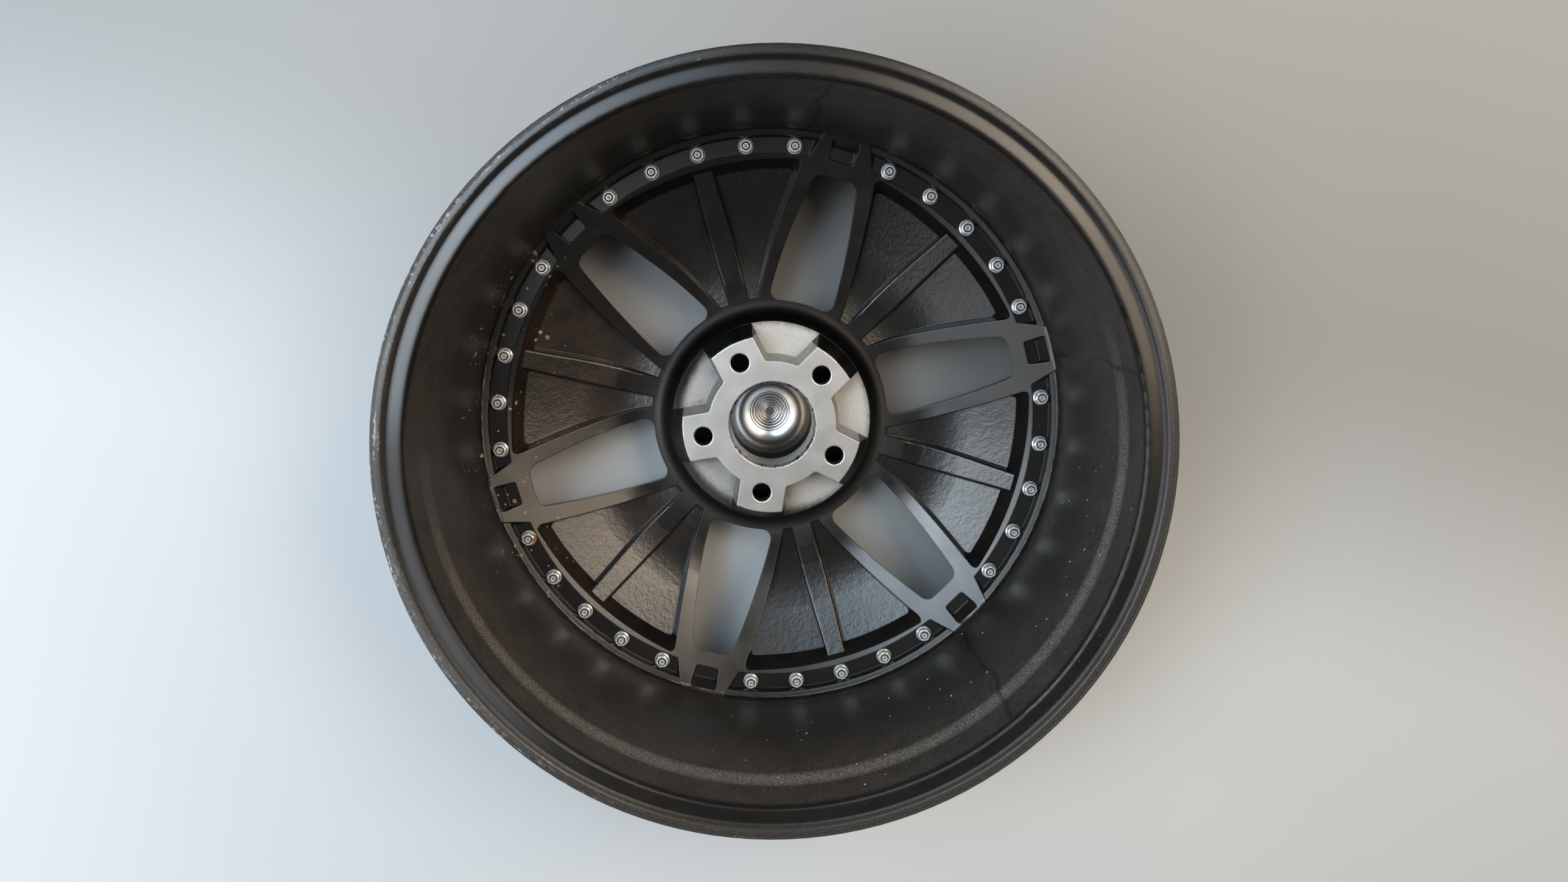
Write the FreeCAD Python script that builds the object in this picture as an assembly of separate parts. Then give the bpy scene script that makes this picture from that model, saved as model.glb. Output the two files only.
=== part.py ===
import FreeCAD, Part
import math
import os

# A one-piece cast alloy wheel, lying on its outboard lip.
# Origin: centre of the hub's mounting face.  +Z: wheel axis, towards the car (inboard).
# +X runs along one spoke and through one lug hole.  Millimetres and degrees.

# Rim, as the tyre meets it
bead_seat_diameter = 512.8
bead_seat_angle = 5.0
bead_seat_width = 20.0
flange_height = 17.3
flange_width = 12.7
flange_curl = 9.5
rim_width = 228.6
hub_offset = 35.0
hump_height = 1.4
hump_width = 8.0
well_depth = 16.6
well_inboard = 12.0
well_outboard = 30.0
edge_round = 2.2
seat_corner_round = 6.0
toe_round = 2.0
hump_round = 4.0
well_round_inboard = 30.0
well_round_outboard = 12.0

# Barrel, seen from inboard
barrel_wall = 6.3
seat_wall = 5.6
shoulder_length = 32.0
shoulder_round = 40.0
mouth_flare = 4.6
mouth_round = 3.0
band_drop = 2.6
inboard_lip = 6.5
lip_step = 6.2
lip_slope_width = 2.7
lip_slope_rise = 4.0
lip_edge_width = 2.8
lip_round = 1.5

# Outboard dish and the lip that the wheel lies on
dish_wall = 6.4
rest_lip = 10.5
rest_lip_round = 2.0
dish_mouth = 8.0
dish_mouth_flare = 2.0
dish_mouth_round = 5.0
dish_turn = 6.0
dish_round = 12.0

# Hub
centre_bore_diameter = 66.6
centre_bore_depth = 30.0
bore_chamfer = 2.0
cap_bore_diameter = 73.0
bolt_circle_diameter = 112.0
lug_count = 5
lug_hole_diameter = 15.0
lug_land = 12.0
lug_seat_half_angle = 30.0
lug_seat_diameter = 27.0
lug_counterbore_diameter = 29.0
pad_radius = 72.0
hub_flank_draft = 20.0
hub_foot_round = 12.0
hub_front = 76.0
relief_inner_radius = 51.5
relief_depth = 25.0
ear_width = 37.0
relief_draft = 8.0
relief_round = 3.0

# Back of the disc: a shallow cone that the spokes share
back_radius = 212.4
back_level = -8.0
back_slope = 20.8
foot_level = -44.0
knee_radius = 125.0
knee_round = 150.0
disc_fillet = 8.0

# Front of the disc
ring_front = 32.0
ring_step = 4.5
crown_slope = 20.0
ring_root_round = 4.0
ring_edge_round = 1.5
crown_step_round = 3.0
crown_turn_radius = 118.0
crown_round = 90.0
nave_radius = 78.0
nave_round = 15.0
pad_edge_round = 0.6

# Spokes, windows and cast pockets
spoke_count = 6
window_inner_radius = 97.5
window_outer_radius = 200.5
window_half_width = 26.6
window_widest = 116.0
window_side_radius = 633.0
window_draft = 8.0
window_end_draft = 24.0
window_round = 8.0
rail_width = 8.6
rail_side_radius = 1000.0
rib_width = 16.0
rib_drop = 4.5
rib_edge_round = 2.0
pocket_depth = 13.0
pocket_draft = 12.0
pocket_outer_radius = 207.2
pocket_outer_draft = 28.0
pocket_round = 4.0
pocket_tip_radius = 95.0
pocket_tip_round = 10.0
pocket_low_radius = 136.0
pocket_low_round = 120.0
pocket_hub_gap = 8.0
groove_width = 10.0
groove_depth = 12.0
groove_draft = 25.0
groove_inner_radius = 112.0
groove_outer_radius = 196.0

# Bolted ring: nut channels between tabs, square pockets outside the windows
nut_circle_radius = 219.0
nuts_per_spoke = 5
nut_pitch = 10.0
channel_floor = 8.6
channel_width = 12.4
channel_lip_rise = 5.0
channel_wall_lean = 1.5
channel_lip_round = 0.8
shelf_drop = 1.2
shelf_round = 1.5
shelf_inset = 2.0
shelf_skin = 0.4
channel_inner_lean = 0.6
tab_width = 15.0
tab_taper = 9.0
tab_wall_draft = 30.0
square_width = 21.8
square_reach = 9.6
square_outer_draft = 40.0
square_draft = 15.0
square_sink = 1.0
square_mouth_level = -2.6
square_round = 2.0

# Accent bolts and flange nuts
bolt_diameter = 6.0
bolt_clearance = 0.4
bolt_head_diameter = 10.0
bolt_head_height = 5.0
bolt_head_chamfer = 0.6
bolt_socket_flats = 5.0
bolt_socket_depth = 2.6
bolt_stand_out = 1.4
bolt_end_chamfer = 0.7
nut_flats = 9.2
nut_height = 6.0
nut_flange_diameter = 12.3
nut_flange_thickness = 0.9
nut_flange_slope = 1.2
nut_chamfer = 1.4
nut_top_inset = 0.25
nut_countersink = 0.45
thread_clearance = 0.05

# Valve hole, through the slope of the outboard dish
valve_hole_diameter = 11.3

# Centre cap, a turned cup held in the front of the bore by a seal
cap_clearance = 0.15
cap_rim_gap = 0.3
cap_rim_wall = 1.2
cap_bowl_depth = 73.0
cap_bowl_round = 23.0
cap_floor = 6.0
cap_flange_width = 3.5
cap_flange_thickness = 3.0
cap_front_round = 6.0
cap_edge_round = 1.0
cap_recess_round = 0.8
seal_thickness = 1.8
seal_level = 66.0
seal_side_clearance = 0.2
seal_clearance = 0.02

# How far cutting shapes run past the faces that they open
past = 10.0

V = FreeCAD.Vector
AXIS = V(0, 0, 1)
HERE = V(0, 0, 0)


def tan(angle):
    return math.tan(math.radians(angle))


def polar(radius, angle, z=0.0):
    a = math.radians(angle)
    return V(radius * math.cos(a), radius * math.sin(a), z)


def rounded_wire(corners):
    """Closed outline in the XZ plane; each corner is (r, z, rounding radius)."""
    points = [V(r, 0, z) for r, z, _ in corners]
    count = len(points)
    halves = []
    reaches = []
    for i, corner in enumerate(points):
        half = (points[i - 1] - corner).getAngle(points[(i + 1) % count] - corner) / 2
        halves.append(half)
        reaches.append(corners[i][2] / math.tan(half))
    # a rounding goes no further than its wall has room for
    fits = [1.0] * count
    for i in range(count):
        wall = points[i].distanceToPoint(points[i - 1])
        share = wall / max(reaches[i] + reaches[i - 1], wall)
        fits[i] = min(fits[i], share)
        fits[i - 1] = min(fits[i - 1], share)
    edges = []
    first = last = None
    for i, corner in enumerate(points):
        before = (points[i - 1] - corner).normalize()
        after = (points[(i + 1) % count] - corner).normalize()
        half = halves[i]
        reach = reaches[i] * fits[i]
        radius = reach * math.tan(half)
        start = corner + before * reach
        end = corner + after * reach
        if last is not None and last.distanceToPoint(start) > 1e-6:
            edges.append(Part.LineSegment(last, start).toShape())
        if radius > 0:
            inward = (before + after).normalize()
            middle = corner + inward * (radius / math.sin(half) - radius)
            edges.append(Part.Arc(start, middle, end).toShape())
        if first is None:
            first = start
        last = end
    if last.distanceToPoint(first) > 1e-6:
        edges.append(Part.LineSegment(last, first).toShape())
    return Part.Wire(edges)


def turned(corners, start_angle=0.0, sweep=360.0):
    """Solid turned about the wheel axis from a rounded outline."""
    face = Part.Face(rounded_wire(corners))
    face.rotate(HERE, AXIS, start_angle)
    return face.revolve(HERE, AXIS, sweep)


def around(shape, count, first=0.0):
    copies = []
    for i in range(count):
        copy = shape.copy()
        copy.rotate(HERE, AXIS, first + i * 360.0 / count)
        copies.append(copy)
    return copies


def arc(a, middle, b):
    return Part.Arc(a, middle, b).toShape()


def line(a, b):
    return Part.LineSegment(a, b).toShape()


def loft(lower, upper):
    return Part.makeLoft([lower, upper], True, True)


def round_long_edges(solid, radius, chosen=None):
    """Round the edges that run from the lower to the upper outline of a loft."""
    box = solid.BoundBox
    middle = (box.ZMin + box.ZMax) / 2
    edges = []
    for edge in solid.Edges:
        z = [v.Point.z for v in edge.Vertexes]
        if len(z) == 2 and min(z) < middle < max(z):
            if chosen is None or chosen(edge.CenterOfMass):
                edges.append(edge)
    return solid.makeFillet(radius, edges)


def circles_meet(c1, r1, c2, r2, near):
    """The crossing of two plan circles that lies nearest to a given point."""
    d = V(c2.x - c1.x, c2.y - c1.y, 0)
    span = d.Length
    along = (span * span + r1 * r1 - r2 * r2) / (2 * span)
    off = math.sqrt(r1 * r1 - along * along)
    base = V(c1.x, c1.y, 0) + d * (along / span)
    side = V(-d.y, d.x, 0) * (off / span)
    return min((base + side, base - side), key=lambda p: p.distanceToPoint(near))


# Levels and radii that follow from the driving sizes
seat_radius = bead_seat_diameter / 2
flange_radius = seat_radius + flange_height
seat_toe_radius = seat_radius - bead_seat_width * tan(bead_seat_angle)
well_radius = seat_radius - well_depth
inboard_face = hub_offset + rim_width / 2
outboard_face = hub_offset - rim_width / 2
inboard_edge = inboard_face + flange_width
outboard_edge = outboard_face - flange_width
bore_radius = centre_bore_diameter / 2
half_pitch = 180.0 / spoke_count
disc_radius = well_radius - barrel_wall
shoulder_radius = seat_toe_radius - seat_wall
lip_radius = flange_radius - inboard_lip
cap_bore_radius = cap_bore_diameter / 2
cap_flange_radius = cap_bore_radius + cap_flange_width
dish_root_radius = well_radius - dish_wall
dish_seat_radius = seat_toe_radius - dish_wall
dish_seat_level = outboard_face + bead_seat_width + hump_width - dish_turn
flank_foot_radius = pad_radius - foot_level * tan(hub_flank_draft)


def back_z(radius):
    """Height of the cone that forms the back of the spokes."""
    return back_level + (radius - back_radius) * tan(back_slope)


def crown_z(radius):
    """Height of the spokes' front, a cone that starts at the bolted ring."""
    return -ring_front - ring_step - (pocket_outer_radius - ring_step - radius) * tan(crown_slope)


def casting_blank():
    """Rim, disc and hub turned in one, before windows, pockets and holes."""
    band_z = inboard_edge - lip_step
    hump_r = seat_toe_radius + hump_height
    hump_mid = bead_seat_width + hump_width / 2
    hump_end = bead_seat_width + hump_width
    cap_recess = cap_flange_radius + cap_clearance
    ledge = pocket_outer_radius - ring_step
    hub_and_back = [
        (bore_radius, -bore_chamfer, 0),
        (bore_radius + bore_chamfer, 0, 0),
        (pad_radius, 0, pad_edge_round),
        (flank_foot_radius, foot_level, hub_foot_round),
        (knee_radius, back_z(knee_radius), knee_round),
        (disc_radius, back_z(disc_radius), disc_fillet),
    ]
    barrel = [
        (shoulder_radius, inboard_face - shoulder_length, shoulder_round),
        (shoulder_radius + mouth_flare, band_z - band_drop, mouth_round),
        (lip_radius - lip_slope_width, band_z, lip_round),
        (lip_radius, band_z + lip_slope_rise, lip_round),
        (flange_radius - lip_edge_width, inboard_edge, lip_round),
    ]
    tyre_side = [
        (flange_radius, inboard_edge, edge_round),
        (flange_radius, inboard_face, flange_curl),
        (seat_radius, inboard_face, seat_corner_round),
        (seat_toe_radius, inboard_face - bead_seat_width, toe_round),
        (hump_r, inboard_face - hump_mid, hump_round),
        (seat_toe_radius - hump_height, inboard_face - hump_end, seat_corner_round),
        (well_radius, well_inboard, well_round_inboard),
        (well_radius, -well_outboard, well_round_outboard),
        (seat_toe_radius - hump_height, outboard_face + hump_end, seat_corner_round),
        (hump_r, outboard_face + hump_mid, hump_round),
        (seat_toe_radius, outboard_face + bead_seat_width, toe_round),
        (seat_radius, outboard_face, seat_corner_round),
        (flange_radius, outboard_face, flange_curl),
        (flange_radius, outboard_edge, edge_round),
    ]
    dish_and_front = [
        (flange_radius - rest_lip, outboard_edge, rest_lip_round),
        (dish_seat_radius + dish_mouth_flare, outboard_edge + dish_mouth, dish_mouth_round),
        (dish_seat_radius, dish_seat_level, dish_round),
        (dish_root_radius, -ring_front, ring_root_round),
        (pocket_outer_radius, -ring_front, ring_edge_round),
        (ledge, crown_z(ledge), crown_step_round),
        (crown_turn_radius, crown_z(crown_turn_radius), crown_round),
        (nave_radius, -hub_front, nave_round),
        (cap_recess, -hub_front, cap_recess_round),
        (cap_recess, -hub_front + cap_flange_thickness, 0),
        (cap_bore_radius, -hub_front + cap_flange_thickness, 0),
        (cap_bore_radius, -centre_bore_depth, 0),
        (bore_radius, -centre_bore_depth, 0),
    ]
    return turned(hub_and_back + barrel + tyre_side + dish_and_front)


def window_wire(z):
    """Window outline at one height; the walls open towards the front."""
    flare = (back_z(knee_radius) - z) * tan(window_draft)
    half = window_half_width + flare
    inner = window_inner_radius - flare
    outer = window_outer_radius + (back_z(window_outer_radius) - z) * tan(window_end_draft)
    centre = V(window_widest, half - window_side_radius, 0)
    a = circles_meet(HERE, inner, centre, window_side_radius, V(inner, half, 0))
    b = circles_meet(HERE, outer, centre, window_side_radius, V(outer, half, 0))
    lift = V(0, 0, z)
    side = V(window_widest, half, 0)
    flip = V(window_widest, -half, 0)
    a2 = V(a.x, -a.y, 0)
    b2 = V(b.x, -b.y, 0)
    return Part.Wire([
        arc(a + lift, side + lift, b + lift),
        arc(b + lift, V(outer, 0, z), b2 + lift),
        arc(b2 + lift, flip + lift, a2 + lift),
        arc(a2 + lift, V(inner, 0, z), a + lift),
    ])


def window_cut():
    tool = loft(window_wire(-hub_front - past), window_wire(back_level + past))
    return round_long_edges(tool, window_round)


def hollow_wire(depth):
    """Outline of the cast hollow in a spoke's back, at a depth below the back."""
    lean = depth * tan(pocket_draft)
    rib = rib_width / 2 + lean
    outer = pocket_outer_radius - depth * tan(pocket_outer_draft)
    rail = window_half_width + rail_width + lean
    turn = FreeCAD.Rotation(AXIS, half_pitch)
    centre = turn.multVec(V(window_widest, rail_side_radius - rail, 0))
    near = turn.multVec(V(outer, -rail, 0))
    corner = circles_meet(HERE, outer, centre, rail_side_radius, near)
    tip = V(centre.x + math.sqrt(rail_side_radius ** 2 - (centre.y - rib) ** 2), rib, 0)
    outward = ((tip + corner) * 0.5 - centre).normalize()
    rail_mid = centre + outward * rail_side_radius

    def sunk(p, side=1):
        return V(p.x, p.y * side, hollow_plane(p.x) - depth)

    return Part.Wire([
        line(sunk(tip, -1), sunk(tip)),
        arc(sunk(tip), sunk(rail_mid), sunk(corner)),
        arc(sunk(corner), sunk(V(outer, 0, 0)), sunk(corner, -1)),
        arc(sunk(corner, -1), sunk(rail_mid, -1), sunk(tip, -1)),
    ])


def hollow_plane(x, drop=0.0):
    """Sloping plane close to the back of a spoke, lower by the drop at its outer end."""
    near = pocket_tip_radius + pocket_tip_round
    far = pocket_outer_radius - pocket_depth
    low = back_z(knee_radius)
    return low + (x - near) * (back_z(far) - drop - low) / (far - near)


def above_pocket_floor():
    """Space above the pockets' floor, which runs level with the back, then up to the hub."""
    far = back_radius + past
    low = pocket_low_radius
    near = pad_radius + pocket_hub_gap
    floor = [
        (near, 0, 0),
        (pocket_tip_radius, foot_level, pocket_tip_round),
        (low, back_z(low) - pocket_depth, pocket_low_round),
        (far, back_z(far) - pocket_depth, 0),
        (far, back_z(far) + 2 * past, 0),
        (near, back_z(far) + 2 * past, 0),
    ]
    return turned(floor, -half_pitch, 2 * half_pitch)


def below_rib_top():
    """Space below the rib's top, which leaves the hub's foot and then follows the back."""
    far = back_radius + past
    foot_slope = (back_z(knee_radius) - foot_level) / (knee_radius - flank_foot_radius)
    knee = knee_radius + rib_drop / (tan(back_slope) - foot_slope)
    return turned([
        (pad_radius, foot_level, 0),
        (knee, back_z(knee) - rib_drop, knee_round),
        (far, back_z(far) - rib_drop, 0),
        (far, -hub_front, 0),
        (pad_radius, -hub_front, 0),
    ], -half_pitch, 2 * half_pitch)


def spoke_rib():
    """Rib along the middle of a spoke's hollow, with rounded long edges."""
    def outline(depth):
        half = rib_width / 2 + depth * tan(pocket_draft)
        near = pad_radius + pocket_hub_gap
        far = pocket_outer_radius + past
        points = [(near, -half), (far, -half), (far, half), (near, half)]
        return Part.makePolygon([
            V(x, y, hollow_plane(x, rib_drop) - depth) for x, y in points + points[:1]
        ])
    bar = loft(outline(pocket_depth + past), outline(-past)).common(below_rib_top())
    edges = []
    for edge in bar.Edges:
        if abs(abs(edge.CenterOfMass.y) - rib_width / 2) < rib_edge_round and edge.Length > rib_width:
            edges.append(edge)
    return bar.makeFillet(rib_edge_round, edges)


def hollow_cut():
    """Cast hollow in a spoke's back: two drafted pockets with the rib between them."""
    prism = loft(hollow_wire(pocket_depth + past), hollow_wire(-past))
    prism = round_long_edges(prism, pocket_round, lambda p: p.x > knee_radius)
    return prism.common(above_pocket_floor()).cut(spoke_rib())


def groove_cut():
    """Groove on the front of a spoke, behind its rib, that parts it into two bars."""
    def outline(depth):
        half = groove_width / 2 + (groove_depth - depth) * tan(groove_draft)
        points = [
            (groove_inner_radius, -half), (groove_outer_radius, -half),
            (groove_outer_radius, half), (groove_inner_radius, half),
        ]
        return Part.makePolygon([
            V(x, y, crown_z(x) + depth) for x, y in points + points[:1]
        ])
    return loft(outline(-past), outline(groove_depth))


def ring_section(floor_z):
    """Ring round the wheel from which the nut channels are taken."""
    inner = nut_circle_radius - channel_width / 2
    outer = nut_circle_radius + channel_width / 2
    shelf = outer + channel_wall_lean
    shelf_end = disc_radius - shelf_inset
    top = back_z(disc_radius) + disc_fillet
    return turned([
        (inner, floor_z, 0),
        (outer, floor_z, 0),
        (shelf, floor_z + channel_lip_rise, channel_lip_round),
        (shelf_end, back_z(shelf_end) - shelf_drop, shelf_round),
        (disc_radius - shelf_skin, top, 0),
        (disc_radius - shelf_skin, top + past, 0),
        (inner - channel_inner_lean, top + past, 0),
        (inner - channel_inner_lean, back_z(inner), 0),
    ], -half_pitch, 2 * half_pitch)


def channel_cut():
    """One nut channel: the ring between the tabs of two neighbouring windows."""
    def outline(z):
        lean = (z + channel_floor) * tan(tab_wall_draft)
        points = []
        for r in (back_radius - past, disc_radius + past):
            tab = square_width / 2 + tab_width - (r - back_radius) * tan(tab_taper)
            side = V(math.sqrt(r * r - (tab - lean) ** 2), -(tab - lean), z)
            turn = FreeCAD.Rotation(AXIS, half_pitch)
            points.append(turn.multVec(side))
        a, b = points
        c = V(b.x, -b.y, z)
        d = V(a.x, -a.y, z)
        return Part.Wire([
            line(a, b), arc(b, V(math.hypot(b.x, b.y), 0, z), c), line(c, d), line(d, a),
        ])
    wedge = loft(outline(-channel_floor - past), outline(2 * past))
    return ring_section(-channel_floor).common(wedge)


def square_cut():
    """Square pocket outside a window, with a steep floor side and a sloped outer wall."""
    floor_z = -channel_floor - square_sink
    inner = nut_circle_radius - channel_width / 2

    def outline(z):
        rise = z - floor_z
        half = square_width / 2 + (z - square_mouth_level) * tan(square_draft)
        near = inner - rise * tan(square_draft)
        far = inner + square_reach + rise * tan(square_outer_draft)
        points = [(near, -half), (far, -half), (far, half), (near, half)]
        return Part.makePolygon([V(x, y, z) for x, y in points + points[:1]])
    tool = loft(outline(floor_z), outline(back_z(disc_radius) + square_round))
    return round_long_edges(tool, square_round)


def relief_cut():
    """Cast recess between two lug ears, open at the hub's flank."""
    slot = 180.0 / lug_count

    def outline(z):
        lean = -z * tan(relief_draft)
        inner = relief_inner_radius + lean
        reach = pad_radius + relief_depth + past
        ear = FreeCAD.Rotation(AXIS, slot)
        half_ear = ear_width / 2 + lean
        a = ear.multVec(V(math.sqrt(inner ** 2 - half_ear ** 2), -half_ear, 0))
        b = ear.multVec(V(reach, -half_ear, 0))
        lift = V(0, 0, z)
        a2 = V(a.x, -a.y, z)
        b2 = V(b.x, -b.y, z)
        return Part.Wire([
            line(a2, b2), line(b2, b + lift), line(b + lift, a + lift),
            arc(a + lift, V(inner, 0, z), a2),
        ])
    tool = loft(outline(-relief_depth), outline(past))
    return round_long_edges(tool, relief_round, lambda p: p.x < pad_radius)


def lug_cut():
    """Lug hole with its tapered seat, reached from the front."""
    hole = lug_hole_diameter / 2
    seat = lug_seat_diameter / 2
    wide = lug_counterbore_diameter / 2
    seat_z = -lug_land - (seat - hole) / tan(lug_seat_half_angle)
    tool = turned([
        (0, past, 0), (hole, past, 0), (hole, -lug_land, 0), (seat, seat_z, 0),
        (wide, seat_z, 0), (wide, -hub_front - past, 0), (0, -hub_front - past, 0),
    ])
    tool.translate(V(bolt_circle_diameter / 2, 0, 0))
    return tool


def on_nut_circle(shape):
    """One copy of a fastener at every place of the bolted ring."""
    copies = []
    middle = (nuts_per_spoke - 1) / 2
    for i in range(nuts_per_spoke):
        copy = shape.copy()
        copy.translate(V(nut_circle_radius, 0, 0))
        copy.rotate(HERE, AXIS, (i - middle) * nut_pitch)
        copies += around(copy, spoke_count)
    return copies


def valve_cut():
    """Valve hole, square to the sloped wall between the well and the outboard seat."""
    top = V(dish_root_radius, 0, -ring_front)
    low = V(dish_seat_radius, 0, dish_seat_level)
    along = (low - top).normalize()
    out = V(-along.z, 0, along.x)
    start = (top + low) * 0.5 - out * past
    hole = Part.makeCylinder(valve_hole_diameter / 2, dish_wall + 3 * past, start, out)
    hole.rotate(HERE, AXIS, half_pitch)
    return hole


def wheel_casting():
    body = casting_blank()
    body = body.cut(around(window_cut(), spoke_count, half_pitch))
    for tool in (hollow_cut(), groove_cut()):
        body = body.cut(around(tool, spoke_count))
    body = body.cut(around(channel_cut(), spoke_count))
    body = body.cut(around(square_cut(), spoke_count, half_pitch))
    body = body.cut(around(relief_cut(), lug_count, 180.0 / lug_count))
    body = body.cut(around(lug_cut(), lug_count))
    below = -ring_front - past
    hole = Part.makeCylinder((bolt_diameter + bolt_clearance) / 2, past - below, V(0, 0, below))
    body = body.cut(on_nut_circle(hole))
    return body.cut(valve_cut())


def hexagon(flats, z0, height):
    corner = flats / math.sqrt(3)
    points = [polar(corner, 60.0 * i, z0) for i in range(7)]
    return Part.Face(Part.makePolygon(points)).extrude(V(0, 0, height))


def accent_bolt():
    """Socket-headed bolt, head on the front ring, end standing out of its nut."""
    shank = bolt_diameter / 2
    head = bolt_head_diameter / 2
    top = -channel_floor + nut_height + bolt_stand_out
    seat = -ring_front
    face = seat - bolt_head_height
    bolt = turned([
        (0, top, 0), (shank - bolt_end_chamfer, top, 0), (shank, top - bolt_end_chamfer, 0),
        (shank, seat, 0), (head, seat, 0), (head, face + bolt_head_chamfer, 0),
        (head - bolt_head_chamfer, face, 0), (0, face, 0),
    ])
    return bolt.cut(hexagon(bolt_socket_flats, face, bolt_socket_depth))


def flange_nut():
    """Hexagon nut with a washer flange, seated on the channel's floor."""
    seat = -channel_floor
    flange = nut_flange_diameter / 2
    hole = bolt_diameter / 2 + thread_clearance
    corner = nut_flats / math.sqrt(3)
    flats = nut_flats / 2
    top = seat + nut_height
    rim = seat + nut_flange_thickness
    nut = hexagon(nut_flats, seat, nut_height).common(turned([
        (0, seat, 0), (corner + 1, seat, 0), (corner + 1, top - nut_chamfer, 0),
        (flats - nut_top_inset, top, 0), (0, top, 0),
    ]))
    skirt = turned([
        (0, seat, 0), (flange, seat, 0), (flange, rim, 0),
        (flats, rim + nut_flange_slope, 0), (0, rim + nut_flange_slope, 0),
    ])
    sink = hole + nut_countersink
    bore = turned([
        (0, seat - past, 0), (hole, seat - past, 0), (hole, top - nut_countersink, 0),
        (sink, top, 0), (sink, top + past, 0), (0, top + past, 0),
    ])
    return nut.fuse(skirt).cut(bore).removeSplitter()


def centre_cap():
    """Turned cup that closes the bore from the front, with a groove for its seal."""
    outer = cap_bore_radius - cap_clearance
    inner = outer - cap_rim_wall
    rim = -centre_bore_depth - cap_rim_gap
    groove = cap_bore_radius - seal_thickness
    flange_top = -hub_front + cap_flange_thickness
    half_groove = seal_thickness / 2 + seal_side_clearance
    return turned([
        (0, -cap_bowl_depth, 0),
        (inner, -cap_bowl_depth, cap_bowl_round),
        (inner, rim, 0),
        (outer, rim, 0),
        (outer, -seal_level + half_groove, 0),
        (groove, -seal_level + half_groove, 0),
        (groove, -seal_level - half_groove, 0),
        (outer, -seal_level - half_groove, 0),
        (outer, flange_top, 0),
        (cap_flange_radius, flange_top, 0),
        (cap_flange_radius, -hub_front, cap_edge_round),
        (cap_bore_radius, -cap_bowl_depth - cap_floor, cap_front_round),
        (0, -cap_bowl_depth - cap_floor, 0),
    ])


def cap_seal():
    """Rubber ring in the cap's groove, filling it out to the bore."""
    half = seal_thickness / 2
    return Part.makeTorus(cap_bore_radius - half, half - seal_clearance, V(0, 0, -seal_level))


nodes = {
    "wheel_casting": wheel_casting(),
    "accent_bolts": Part.makeCompound(on_nut_circle(accent_bolt())),
    "flange_nuts": Part.makeCompound(on_nut_circle(flange_nut())),
    "centre_cap": centre_cap(),
    "cap_seal": cap_seal(),
}

os.makedirs("parts", exist_ok=True)
for name, shape in nodes.items():
    shape.exportStep("parts/" + name + ".step")
    print(name, len(shape.Solids), "solids", round(shape.Volume / 1000.0, 2), "cm3", shape.isValid())
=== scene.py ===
import bpy
import math
from mathutils import Matrix, Vector


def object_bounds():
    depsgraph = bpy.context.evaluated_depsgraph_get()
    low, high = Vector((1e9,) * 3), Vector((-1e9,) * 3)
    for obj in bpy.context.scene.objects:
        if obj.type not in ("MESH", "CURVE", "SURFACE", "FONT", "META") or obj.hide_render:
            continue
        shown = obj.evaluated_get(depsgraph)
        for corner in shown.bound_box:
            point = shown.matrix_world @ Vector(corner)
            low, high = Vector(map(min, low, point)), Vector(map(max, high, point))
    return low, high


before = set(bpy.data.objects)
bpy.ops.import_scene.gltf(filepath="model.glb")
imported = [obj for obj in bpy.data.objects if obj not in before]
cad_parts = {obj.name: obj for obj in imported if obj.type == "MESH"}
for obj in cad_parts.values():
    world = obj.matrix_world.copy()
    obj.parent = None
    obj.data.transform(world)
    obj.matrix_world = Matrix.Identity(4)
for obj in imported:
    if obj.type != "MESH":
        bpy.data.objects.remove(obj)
cad_box = [list(corner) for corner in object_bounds()]

# Wheel casting.  The whole wheel is one aluminium casting, sprayed satin black all over.
# Its hub pads and bore are then machined bare, the reliefs between the pads stay as cast,
# and years of tyre fitting have scuffed the inboard lip.
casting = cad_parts["wheel_casting"]


def put(tree, kind, values=None, **settings):
    """Adds one node; values that are sockets are linked, others are set."""
    made = tree.nodes.new("ShaderNode" + kind)
    for name, value in settings.items():
        setattr(made, name, value)
    for key, value in (values or {}).items():
        if isinstance(value, bpy.types.NodeSocket):
            tree.links.new(value, made.inputs[key])
        else:
            made.inputs[key].default_value = value
    return made


def calc(tree, operation, *values):
    return put(tree, "Math", dict(enumerate(values)), operation=operation).outputs[0]


def times(tree, first, second):
    return calc(tree, "MULTIPLY", first, second)


def most(tree, first, second):
    return calc(tree, "MAXIMUM", first, second)


def rest_of(tree, value):
    return calc(tree, "SUBTRACT", 1.0, value)


def measure(tree, operation, first, second):
    """Distance between two vectors, or their dot product."""
    return put(tree, "VectorMath", {0: first, 1: second}, operation=operation).outputs["Value"]


def fade(tree, value, start, end, low=0.0, high=1.0):
    """Smooth step from low at start to high at end."""
    values = {"Value": value, "From Min": start, "From Max": end, "To Min": low, "To Max": high}
    return put(tree, "MapRange", values, interpolation_type="SMOOTHSTEP").outputs[0]


def between(tree, value, low, high, soft):
    """1 inside a range, falling to 0 over the soft width outside it."""
    rise = fade(tree, value, low - soft, low)
    fall = fade(tree, value, high + soft, high)
    return times(tree, rise, fall)


def dye(tree, factor, first, second):
    """Colour that goes from first to second with the factor."""
    return put(tree, "Mix", {0: factor, 6: first, 7: second}, data_type="RGBA").outputs[2]


def slide(tree, factor, first, second):
    """Number that goes from first to second with the factor."""
    return put(tree, "Mix", {0: factor, 2: first, 3: second}, data_type="FLOAT").outputs[0]


def noise(tree, vector, scale, detail=2.0, roughness=0.5):
    values = {"Vector": vector, "Scale": scale, "Detail": detail, "Roughness": roughness}
    return put(tree, "TexNoise", values).outputs[0]


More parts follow.
